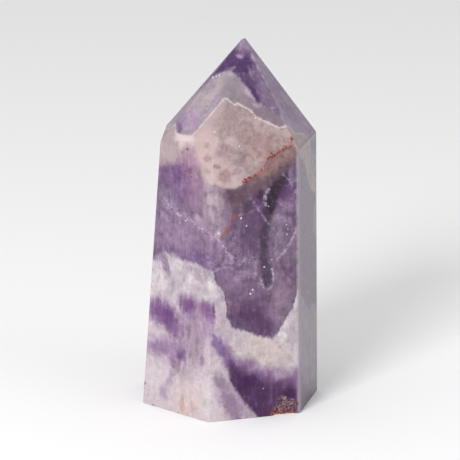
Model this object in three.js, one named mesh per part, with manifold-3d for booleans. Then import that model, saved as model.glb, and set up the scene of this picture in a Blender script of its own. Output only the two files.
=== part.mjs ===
// Chevron amethyst point: one piece of banded quartz, ground flat by flat to a six-sided tower
// with a six-sided tip, and sawn off level at the foot. Millimetres, +Z up. The tower stands on
// its sawn base, and the origin is under the middle of its box.

import * as THREE from 'three';
import { mergeVertices } from 'three/addons/utils/BufferGeometryUtils.js';
import Module from 'manifold-3d';

const wasm = await Module();
wasm.setup();

// Driving dimensions, in millimetres and degrees.

// The six long flats, anticlockwise seen from above, the first one facing front left. Bearing is
// where a flat faces, reach is its distance from the axis at the foot, lean is its inward slope.
const flats = [
  { bearing: 226.5, reach: 18.3, lean: 1.6 },
  { bearing: 288, reach: 18.3, lean: 1.0 },
  { bearing: 345.5, reach: 20.4, lean: 0.8 },
  { bearing: 49, reach: 18.3, lean: -0.2 },
  { bearing: 109.5, reach: 18.6, lean: 2.2 },
  { bearing: 177, reach: 20.6, lean: 4.2 },
];
// Height of the shoulder on each upright edge; edge k lies between flat k - 1 and flat k.
const shoulderHeights = [66.1, 64.8, 65.2, 65.8, 65.6, 66.1];
const apex = new THREE.Vector3(3.9, 0, 90.4); // where the six tip facets would meet
const tipLoss = 0.45; // ground off the very tip, leaving a ridge a millimetre long
const tipTilt = 26; // slope of that ridge, down to the left
const bevelWidths = { upright: 0.9, shoulder: 0.6, ridge: 0.5, foot: 0.5 };

// A natural rough hollow that the grinding didn't reach, low on the front flat at its right edge.
const hollow = { flat: 1, along: 0.83, height: 0.9, size: [7.8, 3.2, 8.0], sunk: 0.85 };
// Nicks on the sharp edges: which edge, how far along it, and how wide.
const nicks = [
  { kind: 'foot', edge: 0, along: 0.16, width: 1.3 },
  { kind: 'foot', edge: 0, along: 0.55, width: 0.9 },
  { kind: 'foot', edge: 1, along: 0.34, width: 1.0 },
  { kind: 'foot', edge: 2, along: 0.62, width: 1.4 },
  { kind: 'foot', edge: 3, along: 0.3, width: 1.7 },
  { kind: 'foot', edge: 4, along: 0.7, width: 1.1 },
  { kind: 'foot', edge: 5, along: 0.45, width: 1.5 },
  { kind: 'upright', edge: 0, along: 0.08, width: 1.2 },
  { kind: 'upright', edge: 3, along: 0.42, width: 1.1 },
  { kind: 'upright', edge: 4, along: 0.77, width: 1.4 },
  { kind: 'upright', edge: 5, along: 0.24, width: 1.2 },
  { kind: 'shoulder', edge: 5, along: 0.6, width: 1.1 },
  { kind: 'shoulder', edge: 3, along: 0.25, width: 1.3 },
  { kind: 'ridge', edge: 5, along: 0.35, width: 0.9 },
];
const roughness = 0.22; // how uneven a broken surface is, against its own size

const sides = flats.length;
const blankRadius = 34;
const reachOfWheel = 4 * apex.z; // well past the blank in every direction
const color = 0x8a7099;

const toRadians = THREE.MathUtils.degToRad;
const wrap = (k) => (k + sides) % sides;

// Solids

function solidFrom(geometry) {
  geometry.deleteAttribute('normal');
  geometry.deleteAttribute('uv');
  const merged = mergeVertices(geometry, 1e-5);
  return new wasm.Manifold(new wasm.Mesh({
    numProp: 3,
    vertProperties: Float32Array.from(merged.attributes.position.array),
    triVerts: Uint32Array.from(merged.index.array),
  }));
}

function geometryFrom(solid) {
  const mesh = solid.getMesh();
  const geometry = new THREE.BufferGeometry();
  geometry.setAttribute('position', new THREE.BufferAttribute(mesh.vertProperties, 3));
  geometry.setIndex(new THREE.BufferAttribute(mesh.triVerts, 1));
  return geometry;
}

// Planes of the tower

function flatPlane({ bearing, reach, lean }) {
  const angle = toRadians(bearing);
  const slope = toRadians(lean);
  const normal = new THREE.Vector3(
    Math.cos(angle) * Math.cos(slope),
    Math.sin(angle) * Math.cos(slope),
    Math.sin(slope),
  );
  return new THREE.Plane(normal, -reach * Math.cos(slope));
}

const flatPlanes = flats.map(flatPlane);
const footPlane = new THREE.Plane(new THREE.Vector3(0, 0, -1), 0);

// The point on upright edge k at a height: where its two flats and a level plane meet.
function cornerAt(k, height) {
  const a = flatPlanes[wrap(k - 1)];
  const b = flatPlanes[k];
  const level = new THREE.Plane(new THREE.Vector3(0, 0, 1), -height);
  const ab = a.normal.clone().cross(b.normal);
  const bl = b.normal.clone().cross(level.normal);
  const la = level.normal.clone().cross(a.normal);
  const scale = -1 / a.normal.dot(bl);
  return bl.multiplyScalar(a.constant * scale)
    .addScaledVector(la, b.constant * scale)
    .addScaledVector(ab, level.constant * scale);
}

const footCorners = flats.map((_, k) => cornerAt(k, 0));
const shoulderCorners = flats.map((_, k) => cornerAt(k, shoulderHeights[k]));

function facetPlane(k) {
  const next = shoulderCorners[wrap(k + 1)];
  return new THREE.Plane().setFromCoplanarPoints(shoulderCorners[k], next, apex);
}

const facetPlanes = flats.map((_, k) => facetPlane(k));

// Edges of the tower: the two planes that meet there and the two ends

const edges = {
  upright: (k) => ({
    planes: [flatPlanes[wrap(k - 1)], flatPlanes[k]],
    ends: [footCorners[k], shoulderCorners[k]],
  }),
  shoulder: (k) => ({
    planes: [flatPlanes[k], facetPlanes[k]],
    ends: [shoulderCorners[k], shoulderCorners[wrap(k + 1)]],
  }),
  ridge: (k) => ({
    planes: [facetPlanes[wrap(k - 1)], facetPlanes[k]],
    ends: [shoulderCorners[k], apex],
  }),
  foot: (k) => ({
    planes: [footPlane, flatPlanes[k]],
    ends: [footCorners[k], footCorners[wrap(k + 1)]],
  }),
};

// Grinding: everything in front of a plane is taken off.
function grind(solid, point, normal) {
  const wheel = new THREE.BoxGeometry(reachOfWheel, reachOfWheel, reachOfWheel);
  wheel.translate(0, 0, reachOfWheel / 2);
  const turn = new THREE.Quaternion().setFromUnitVectors(new THREE.Vector3(0, 0, 1), normal);
  wheel.applyQuaternion(turn);
  wheel.translate(point.x, point.y, point.z);
  return solid.subtract(solidFrom(wheel));
}

function grindPlane(solid, plane) {
  return grind(solid, plane.coplanarPoint(new THREE.Vector3()), plane.normal);
}

function bevel(solid, { planes, ends }, width) {
  const [a, b] = planes;
  const outward = a.normal.clone().add(b.normal).normalize();
  const depth = (width / 2) * Math.tan(a.normal.angleTo(b.normal) / 2);
  return grind(solid, ends[0].clone().addScaledVector(outward, -depth), outward);
}

// Broken places: an uneven pebble shape is taken out of the surface.

function unevenness(position, seed) {
  const wave = Math.sin(position.x * 12.9 + position.y * 78.2 + position.z * 37.7 + seed * 4.1);
  const scrambled = wave * 43758.5;
  return 2 * (scrambled - Math.floor(scrambled)) - 1;
}

function pebble(size, detail, seed) {
  const geometry = new THREE.IcosahedronGeometry(0.5, detail);
  const positions = geometry.attributes.position;
  const point = new THREE.Vector3();
  for (let i = 0; i < positions.count; i += 1) {
    point.fromBufferAttribute(positions, i);
    const key = point.clone().multiplyScalar(100).round();
    point.multiplyScalar(1 + roughness * unevenness(key, seed));
    positions.setXYZ(i, point.x, point.y, point.z);
  }
  geometry.scale(size[0], size[1], size[2]);
  return geometry;
}

function nick(solid, { kind, edge, along, width }, seed) {
  const { planes, ends } = edges[kind](edge);
  const outward = planes[0].normal.clone().add(planes[1].normal).normalize();
  const place = ends[0].clone().lerp(ends[1], along).addScaledVector(outward, width * 0.22);
  const bite = pebble([width * 1.3, width, width], 1, seed);
  bite.translate(place.x, place.y, place.z);
  return solid.subtract(solidFrom(bite));
}

function cutHollow(solid) {
  const { flat, along, height, size, sunk } = hollow;
  const plane = flatPlanes[flat];
  const place = footCorners[flat].clone().lerp(footCorners[wrap(flat + 1)], along);
  place.z += height;
  place.addScaledVector(plane.normal, size[1] / 2 - sunk);
  const bite = pebble(size, 2, 7);
  bite.rotateZ(toRadians(flats[flat].bearing + 90));
  bite.translate(place.x, place.y, place.z);
  return solid.subtract(solidFrom(bite));
}

function bluntTip(solid) {
  const tilt = toRadians(tipTilt);
  const normal = new THREE.Vector3(-Math.sin(tilt), 0, Math.cos(tilt));
  return grind(solid, apex.clone().addScaledVector(normal, -tipLoss), normal);
}

// The crystal

function makeTower() {
  const blank = new THREE.CylinderGeometry(blankRadius, blankRadius, apex.z + 10, 24);
  blank.rotateX(Math.PI / 2);
  blank.translate(0, 0, apex.z / 2);
  let tower = solidFrom(blank);
  for (const plane of [footPlane, ...flatPlanes, ...facetPlanes]) tower = grindPlane(tower, plane);
  for (const [kind, width] of Object.entries(bevelWidths)) {
    for (let k = 0; k < sides; k += 1) tower = bevel(tower, edges[kind](k), width);
  }
  tower = bluntTip(tower);
  tower = cutHollow(tower);
  nicks.forEach((place, i) => {
    tower = nick(tower, place, i + 1);
  });
  return geometryFrom(tower);
}

function centreOnFoot(geometry) {
  geometry.computeBoundingBox();
  const centre = geometry.boundingBox.getCenter(new THREE.Vector3());
  geometry.translate(-centre.x, -centre.y, -geometry.boundingBox.min.z);
  return geometry;
}

const crystal = new THREE.Mesh(
  centreOnFoot(makeTower()),
  new THREE.MeshStandardMaterial({ color, roughness: 0.15, metalness: 0 }),
);
crystal.name = 'crystal_point';

const group = new THREE.Group();
group.add(crystal);

export default group;
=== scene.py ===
import math

import bmesh
import bpy
from mathutils import Matrix, Vector, noise


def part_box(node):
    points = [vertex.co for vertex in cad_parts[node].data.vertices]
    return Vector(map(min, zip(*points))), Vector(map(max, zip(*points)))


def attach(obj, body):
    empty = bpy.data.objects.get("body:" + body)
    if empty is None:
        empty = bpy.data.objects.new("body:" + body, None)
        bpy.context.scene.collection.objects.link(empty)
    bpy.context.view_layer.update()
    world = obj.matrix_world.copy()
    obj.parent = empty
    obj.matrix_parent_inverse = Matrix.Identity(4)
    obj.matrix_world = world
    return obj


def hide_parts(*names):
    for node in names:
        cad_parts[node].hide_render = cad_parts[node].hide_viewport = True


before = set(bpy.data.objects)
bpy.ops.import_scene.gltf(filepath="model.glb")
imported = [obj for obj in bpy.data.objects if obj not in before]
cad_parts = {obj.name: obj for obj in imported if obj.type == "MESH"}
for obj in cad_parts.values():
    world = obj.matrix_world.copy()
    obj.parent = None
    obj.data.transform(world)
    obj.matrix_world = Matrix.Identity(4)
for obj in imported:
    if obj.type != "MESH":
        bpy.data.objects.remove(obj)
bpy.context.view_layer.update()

mm = 0.001
print("frame loaded")


# Shader helpers

def sumOf(operation, swapped=False):  # swapped where a number stands before the wire
    def work(wire, other):
        return wire.shader.sum(operation, *((other, wire) if swapped else (wire, other)))
    return work


class Wire:  # one output, so that shader sums read as sums
    def __init__(self, shader, socket):
        self.shader = shader
        self.socket = socket

    __add__ = sumOf("ADD")
    __radd__ = sumOf("ADD", True)
    __sub__ = sumOf("SUBTRACT")
    __rsub__ = sumOf("SUBTRACT", True)
    __mul__ = sumOf("MULTIPLY")
    __rmul__ = sumOf("MULTIPLY", True)
    __truediv__ = sumOf("DIVIDE")
    __rtruediv__ = sumOf("DIVIDE", True)
    atLeast = sumOf("MAXIMUM")
    atMost = sumOf("MINIMUM")

    def __abs__(self):
        return self.shader.sum("ABSOLUTE", self)

    def fade(self, start, end, height=1):  # eased: 0 at start, the height at end
        return self.shader.node(
            "MapRange", {"interpolation_type": "SMOOTHSTEP", "clamp": False},
            {"Value": self, "From Min": start, "From Max": end, "To Max": height})


class Shader:  # a tree of nodes, of a material or of a group
    def __init__(self, tree):
        self.tree = tree
        self.tree.nodes.clear()

    def node(self, kind, settings=None, values=None, output=0):
        made = self.tree.nodes.new("ShaderNode" + kind)
        for key, value in (settings or {}).items():
            if key == "curve":
                self.drawCurve(made, value)
            else:
                setattr(made, key, value)
        for key, value in (values or {}).items():
            if isinstance(value, Wire):
                self.tree.links.new(value.socket, made.inputs[key])
            else:
                made.inputs[key].default_value = value
        return Wire(self, made.outputs[output]) if made.outputs else None

    def drawCurve(self, made, points):
        curve = made.mapping.curves[0]
        while len(curve.points) < len(points):
            curve.points.new(0.5, 0.5)
        for point, place in zip(curve.points, points):
            point.location = place
            point.handle_type = "VECTOR"
        made.mapping.update()

    def sum(self, operation, *values):
        return self.node("Math", {"operation": operation}, dict(enumerate(values)))

    def split(self, vector):
        made = self.node("SeparateXYZ", None, {"Vector": vector}).socket.node
        return [Wire(self, made.outputs[axis]) for axis in "XYZ"]

    def grain(self, place, scale, detail, roughness, shift, upwards=1, lean=0):
        if lean:
            place = self.node("Mapping", None, {"Vector": place, "Rotation": (0, math.radians(lean), 0)})
        moved = self.node("Mapping", None, {
            "Vector": place, "Scale": (scale, scale, scale * upwards),
            "Location": (shift, -shift, 2 * shift)})
        return self.node("TexNoise", None, {
            "Vector": moved, "Scale": 1, "Detail": detail, "Roughness": roughness})

    def grainPair(self, place, scale, detail):  # two unlike grains, about 0, for shifting places
        colored = self.node("TexNoise", None, {"Vector": place, "Scale": scale, "Detail": detail}, 1)
        made = self.node("SeparateColor", None, {"Color": colored}).socket.node
        return Wire(self, made.outputs[0]) - 0.5, Wire(self, made.outputs[1]) - 0.5

    def trace(self, across, points):  # height of a line drawn through given places, above each place across
        left, right = points[0][0], points[-1][0]
        low = min(up for _, up in points)
        high = max(up for _, up in points)
        shape = [((x - left) / (right - left), (y - low) / (high - low)) for x, y in points]
        share = self.node("FloatCurve", {"curve": shape}, {1: (across - left) / (right - left)})
        return share * (high - low) + low


def newMaterial(name):
    material = bpy.data.materials.new(name)
    material.use_nodes = True
    return material


class Group(Shader):  # nodes that are used many times over, and give one share
    def __init__(self, name, given):
        super().__init__(bpy.data.node_groups.new(name, "ShaderNodeTree"))
        for socket in given:
            self.tree.interface.new_socket(socket, in_out="INPUT", socket_type="NodeSocketFloat")
        self.tree.interface.new_socket("Share", in_out="OUTPUT", socket_type="NodeSocketFloat")
        entry = self.tree.nodes.new("NodeGroupInput")
        self.given = [Wire(self, entry.outputs[socket]) for socket in given]

    def length(self, x, y):
        return self.sum("SQRT", self.sum("MULTIPLY_ADD", x, x, y * y))

    def finish(self, share):
        leave = self.tree.nodes.new("NodeGroupOutput")
        self.tree.links.new(share.socket, leave.inputs["Share"])
        return self.tree


def makeOval():  # full in a ragged oval's core and 0 past its rim
    group = Group("soft oval", [
        "Across", "Up", "Rag", "MiddleAcross", "MiddleUp", "ReachAcross", "ReachUp", "Turn", "Softness",
        "Strength", "Before"])
    across, up, rag, middleAcross, middleUp, *shape, strength, before = group.given
    reachAcross, reachUp, turn, softness = shape
    across = across - middleAcross
    up = up - middleUp
    cosine, sine = group.sum("COSINE", turn), group.sum("SINE", turn)
    x = group.sum("MULTIPLY_ADD", across, cosine / reachAcross, up * (sine / reachAcross))
    y = group.sum("MULTIPLY_ADD", up, cosine / reachUp, across * (0 - sine / reachUp))
    share = (group.length(x, y) + rag).fade(1 + softness, 1 - softness, strength)
    return group.finish(share.atLeast(before))


def makeStroke():  # full along a straight line between two places, 0 beside it
    group = Group("fine stroke", [
        "Across", "Up", "StartAcross", "StartUp", "RunAcross", "RunUp", "Width", "Strength", "Before"])
    across, up, startAcross, startUp, runAcross, runUp, width, strength, before = group.given
    across = across - startAcross
    up = up - startUp
    reach = group.sum("MULTIPLY_ADD", runAcross, runAcross, runUp * runUp)
    along = group.sum("MULTIPLY_ADD", across, runAcross / reach, up * (runUp / reach)).atLeast(0).atMost(1)
    away = group.length(across - along * runAcross, up - along * runUp) / width
    return group.finish(away.fade(1, 0.2, strength).atLeast(before))


softOval = makeOval()
fineStroke = makeStroke()


# The crystal's shape

tower = {  # millimetres and degrees, as the solid in the frame
    "blank": {"radius": 34, "length": 200, "corners": 24},  # what the flats are ground from
    "flats": [  # bearing that each faces, reach at the foot, inward lean
        (226.5, 18.3, 1.6), (288, 18.3, 1), (345.5, 20.4, 0.8),
        (49, 18.3, -0.2), (109.5, 18.6, 2.2), (177, 20.6, 4.2)],
    "shoulders": [66.1, 64.8, 65.2, 65.8, 65.6, 66.1],  # height at which each upright edge ends
    "apex": (3.9, 0, 90.4),
    "tipLoss": 0.45,
    "tipTilt": 26,
    "widestRounding": 1.5,
    "roundingSteps": 4,
    "rounding": {"upright": 0.9, "frontUpright": 1.5, "shoulder": 0.6, "ridge": 0.5, "foot": 0.5, "tip": 0.2},
    "frontDepth": -18,  # upright edges in front of this have the front rounding
    "hollow": {
        "flat": 1, "along": 0.83, "height": 0.9, "size": (7.8, 3.2, 8), "sunk": 0.85,
        "detail": 6, "seed": 7},
    "nick": {"stretch": 1.3, "lift": 0.22, "detail": 4},
    "nicks": [  # kind and number of the edge, how far along it, width
        ("foot", 0, 0.16, 1.3), ("foot", 0, 0.55, 0.9), ("foot", 1, 0.34, 1), ("foot", 2, 0.62, 1.4),
        ("foot", 3, 0.3, 1.7), ("foot", 4, 0.7, 1.1), ("foot", 5, 0.45, 1.5), ("upright", 0, 0.08, 1.2),
        ("upright", 3, 0.42, 1.1), ("upright", 4, 0.77, 1.4), ("upright", 5, 0.24, 1.2),
        ("shoulder", 5, 0.6, 1.1), ("shoulder", 3, 0.25, 1.3), ("ridge", 5, 0.35, 0.9)],
    "uneven": {"broad": 0.28, "fine": 0.07, "ledges": 0.12},  # how rough the broken places are
}
sides = len(tower["flats"])


def flatPlane(index):  # a place on a long flat and the way that it faces
    bearing, reach, lean = tower["flats"][index % sides]
    angle, slope = math.radians(bearing), math.radians(lean)
    outward = Vector((math.cos(angle) * math.cos(slope), math.sin(angle) * math.cos(slope), math.sin(slope)))
    return Vector((math.cos(angle), math.sin(angle), 0)) * reach, outward


def planeReach(index):  # how far a flat's plane is from the origin
    _, reach, lean = tower["flats"][index % sides]
    return reach * math.cos(math.radians(lean))


def cornerAt(index, height):  # where two neighbouring flats cross a level
    crossing = Matrix((flatPlane(index - 1)[1], flatPlane(index)[1], (0, 0, 1)))
    return crossing.inverted() @ Vector((planeReach(index - 1), planeReach(index), height))


def shoulderAt(index):
    return cornerAt(index, tower["shoulders"][index % sides])


def facetPlane(index):  # the same as flatPlane, for a facet of the tip
    apex = Vector(tower["apex"])
    here, after = shoulderAt(index), shoulderAt(index + 1)
    return apex, (after - here).cross(apex - here).normalized()


def edgeOf(kind, index):  # the two ends of an edge and the way it faces
    footA, footB = cornerAt(index, 0), cornerAt(index + 1, 0)
    topA, topB = shoulderAt(index), shoulderAt(index + 1)
    flat, before = flatPlane(index)[1], flatPlane(index - 1)[1]
    facet, facetBefore = facetPlane(index)[1], facetPlane(index - 1)[1]
    start, end, facing = {
        "foot": (footA, footB, flat + Vector((0, 0, -1))), "upright": (footA, topA, flat + before),
        "shoulder": (topA, topB, flat + facet), "ridge": (topA, Vector(tower["apex"]), facet + facetBefore),
    }[kind]
    return start, end, facing.normalized()


def grind(bm, point, outward):  # takes off all that is in front of a plane
    cut = bmesh.ops.bisect_plane(
        bm, geom=bm.verts[:] + bm.edges[:] + bm.faces[:], dist=1e-8,
        plane_co=point * mm, plane_no=outward, clear_outer=True)
    rim = [e for e in cut["geom_cut"] if isinstance(e, bmesh.types.BMEdge)]
    bmesh.ops.contextual_create(bm, geom=rim)


def edgeKind(edge):  # told by how far its two faces look down or up
    lean = sorted(face.normal.z for face in edge.link_faces)
    if lean[0] < -0.9:
        return "foot"
    if lean[1] > 0.8:
        return "tip"
    if lean[1] < 0.2:
        return "frontUpright" if edge.verts[0].co.y < tower["frontDepth"] * mm else "upright"
    return "shoulder" if lean[0] < 0.2 else "ridge"


def bareTower():
    bm = bmesh.new()
    blank = tower["blank"]
    bmesh.ops.create_cone(
        bm, cap_ends=True, segments=blank["corners"], radius1=blank["radius"] * mm,
        radius2=blank["radius"] * mm, depth=blank["length"] * mm)
    grind(bm, Vector((0, 0, 0)), Vector((0, 0, -1)))
    for index in range(sides):
        grind(bm, *flatPlane(index))
        grind(bm, *facetPlane(index))
    tilt = math.radians(tower["tipTilt"])
    outward = Vector((-math.sin(tilt), 0, math.cos(tilt)))
    grind(bm, Vector(tower["apex"]) - outward * tower["tipLoss"], outward)
    bmesh.ops.remove_doubles(bm, verts=bm.verts[:], dist=1e-6)
    bmesh.ops.dissolve_limit(bm, angle_limit=math.radians(0.5), verts=bm.verts[:], edges=bm.edges[:])
    bmesh.ops.recalc_face_normals(bm, faces=bm.faces[:])
    weight = bm.edges.layers.float.new("bevel_weight_edge")
    for edge in bm.edges:
        edge[weight] = tower["rounding"][edgeKind(edge)] / tower["widestRounding"]
    return bm


def roughLump(bm, place, size, turn, detail, seed):  # an uneven pebble, to be taken out of the stone
    made = bmesh.ops.create_icosphere(bm, subdivisions=detail, radius=0.5)["verts"]
    drift = Vector((seed * 3.7, seed * 1.3, -seed * 2.1))  # each from another part of the noise
    uneven = tower["uneven"]
    for vert in made:
        spot = vert.co * 3 + drift
        broad = uneven["broad"] * noise.noise(spot)
        fine = uneven["fine"] * noise.fractal(spot * 3, 0.8, 2, 4)
        ledges = uneven["ledges"] * abs(noise.noise(spot * 1.7))
        vert.co *= 1 + broad + fine + ledges
    bmesh.ops.scale(bm, verts=made, vec=Vector(size) * mm)
    bmesh.ops.rotate(bm, verts=made, cent=(0, 0, 0), matrix=Matrix.Rotation(math.radians(turn), 3, "Z"))
    bmesh.ops.translate(bm, verts=made, vec=place * mm)


def losses():  # all that is broken or hollow
    bm = bmesh.new()
    hollow, nick = tower["hollow"], tower["nick"]
    start, end, _ = edgeOf("foot", hollow["flat"])
    place = start.lerp(end, hollow["along"]) + Vector((0, 0, hollow["height"]))
    place += flatPlane(hollow["flat"])[1] * (hollow["size"][1] / 2 - hollow["sunk"])
    turn = tower["flats"][hollow["flat"]][0] + 90
    roughLump(bm, place, hollow["size"], turn, hollow["detail"], hollow["seed"])
    for count, (kind, index, along, width) in enumerate(tower["nicks"]):
        start, end, outward = edgeOf(kind, index)
        place = start.lerp(end, along) + outward * width * nick["lift"]
        roughLump(bm, place, (width * nick["stretch"], width, width), 0, nick["detail"], count + 1)
    return bm


def objectFrom(bm, name, materials):
    mesh = bpy.data.meshes.new(name)
    bm.to_mesh(mesh)
    bm.free()
    for material in materials:
        mesh.materials.append(material)
    made = bpy.data.objects.new(name, mesh)
    bpy.context.collection.objects.link(made)
    return made


def applied(made):  # the object with its modifiers made real
    graph = bpy.context.evaluated_depsgraph_get()
    mesh = bpy.data.meshes.new_from_object(made.evaluated_get(graph))
    made.modifiers.clear()
    made.data = mesh


def makeTower(polished, broken):
    crystal = objectFrom(bareTower(), "crystal", [polished, broken])
    rounding = crystal.modifiers.new("rounded edges", "BEVEL")
    rounding.limit_method = "WEIGHT"
    rounding.offset_type = "WIDTH"
    rounding.width = tower["widestRounding"] * mm
    rounding.segments = tower["roundingSteps"]
    bites = objectFrom(losses(), "bites", [polished, broken])
    for face in bites.data.polygons:
        face.material_index = 1
    taking = crystal.modifiers.new("broken places", "BOOLEAN")
    taking.operation = "DIFFERENCE"
    taking.solver = "EXACT"
    taking.material_mode = "INDEX"
    taking.object = bites
    applied(crystal)
    bpy.data.objects.remove(bites)
    seatInFrame(crystal)
    for face in crystal.data.polygons:
        face.use_smooth = True
    flattening = crystal.modifiers.new("flat faces", "WEIGHTED_NORMAL")
    flattening.weight = 100
    flattening.keep_sharp = False
    applied(crystal)
    return crystal


def seatInFrame(made):  # under the solid's own box, on its foot
    low, high = (Vector(corner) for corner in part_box("crystal_point"))
    points = [vert.co for vert in made.data.vertices]
    ownLow = Vector(min(p[axis] for p in points) for axis in range(3))
    ownHigh = Vector(max(p[axis] for p in points) for axis in range(3))
    shrink = min(1, *((high[axis] - low[axis]) / (ownHigh[axis] - ownLow[axis]) for axis in range(3)))
    print("tower fits its solid at", round(shrink, 5))
    middle = (ownLow + ownHigh) / 2
    goal = (low + high) / 2
    made.data.transform(
        Matrix.Translation((goal.x, goal.y, low.z)) @ Matrix.Scale(shrink, 4)
        @ Matrix.Translation((-middle.x, -middle.y, -ownLow.z)))


# The stone: its bands, drawn as heights in millimetres over the front view

view = {  # how the stone is looked at from the front, in millimetres and degrees
    "height": 42.36, "side": 0.49, "distance": 650, "tilt": 14.23, "lens": 209.02,
    "offset": (0.664, 0.128, 0),  # from the middle of the box to the tower's own axis
}

gloss = {  # how bright the lamps show the stone on a face, and the sheen on top of it
    "front": (1.38, 0.023), "left": (1.46, 0.032), "crownRight": (0.72, 0.11), "right": (0.63, 0.207)}


def tone(look, face):  # the stone's own colour, from how it looks on a face
    gain, sheen = gloss[face]
    color = []
    for value in look:
        share = value / 255
        light = share / 12.92 if share <= 0.04045 else ((share + 0.055) / 1.055) ** 2.4
        color.append(max(0.004, (light - sheen) / gain))
    return (*color, 1)


looks = {  # how each tone looks on a face: red, green and blue of 255
    "front": dict(
        tipViolet=(130, 109, 138), tipMauve=(164, 142, 169), tipDeep=(92, 70, 109), tipRosy=(132, 113, 137),
        tipSoft=(122, 98, 130), tipLight=(180, 158, 184), bandLeft=(184, 170, 178),
        bandWarm=(193, 179, 181), bandPeak=(155, 142, 151), bandRight=(144, 126, 139),
        bandPink=(181, 159, 179), bandViolet=(156, 130, 166), bandDim=(158, 144, 158),
        notch=(128, 107, 137), rosyWhite=(200, 177, 188), beigeLight=(206, 182, 179),
        beigeTop=(168, 146, 145), beigeLimb=(190, 170, 170), beigePink=(170, 141, 140),
        beigeWhite=(203, 184, 187), spot=(164, 134, 141), spotDeep=(150, 118, 128), blob=(232, 212, 216),
        glow=(226, 212, 214), glowSoft=(206, 190, 193), brownRight=(146, 115, 115),
        brownPale=(164, 140, 137), brownDark=(108, 86, 96), diamond=(80, 66, 82), bodyRight=(122, 101, 126),
        paleColumn=(176, 154, 167), paleCore=(195, 180, 189), lowerRim=(122, 96, 138),
        veryDark=(58, 30, 58), darkPurple=(101, 73, 110), tuft=(154, 132, 154), streak=(80, 65, 84),
        greyField=(126, 110, 129), bluePurple=(101, 80, 107), mauve=(146, 121, 149), cavity=(88, 72, 94),
        rim=(158, 143, 161), uDeep=(92, 65, 98), uRight=(148, 125, 145), redBrown=(122, 86, 100),
        uMist=(130, 106, 131), cream=(207, 191, 188), creamLilac=(190, 179, 185), footDark=(93, 64, 98),
        footDeep=(74, 44, 85), footRose=(140, 105, 148), footBand=(182, 166, 181),
        footMauve=(156, 131, 156), footWhite=(216, 204, 208), red=(134, 42, 44), redSoft=(170, 92, 90),
        # on the line below, the near-white tone is for painted glints
        orange=(170, 86, 54), spark=(250, 245, 250), thread=(176, 156, 180), paleThread=(206, 190, 208),
        # on the line below, the first tone is a painted highlight of the rounded front-right edge
        strip=(176, 165, 177), rust=(178, 108, 66), rustPale=(214, 172, 128), hollow=(120, 90, 99),
        crushed=(176, 160, 180)),
    "left": dict(
        shoulder=(187, 168, 172), shoulderPink=(188, 156, 172), bodyLeft=(147, 123, 151),
        deepViolet=(125, 92, 136), greyViolet=(139, 121, 147), pinkColumn=(156, 124, 152),
        pinkFleck=(128, 88, 120), halo=(177, 141, 166), lilac=(160, 135, 163), whiteGrey=(183, 167, 179),
        whiteMid=(196, 178, 190), finger=(150, 125, 154), whiteBright=(226, 216, 221),
        whiteLow=(219, 205, 211), violet=(136, 97, 146), violetSoft=(163, 133, 170),
        violetDeep=(112, 76, 128), violetBlue=(146, 120, 168), footMix=(178, 150, 174),
        mixDark=(140, 116, 142), mixGreen=(170, 157, 166), peach=(221, 201, 200),
        orangeTint=(206, 160, 142)),
    # painted sheen: grey tones for the right tip facet and its rounded edge to the right flat
    "crownRight": dict(
        crownGrey=(142, 128, 148), crownLight=(154, 142, 158), shoulderEdge=(150, 139, 146),
        crownBeige=(157, 144, 146)),
    # painted shade and sheen: dim grey tones for the right flat
    "right": dict(
        rightBase=(139, 134, 142), rightBeige=(143, 134, 137), rightTop=(128, 120, 134)),
}
tones = {name: tone(look, face) for face, group in looks.items() for name, look in group.items()}

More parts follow.
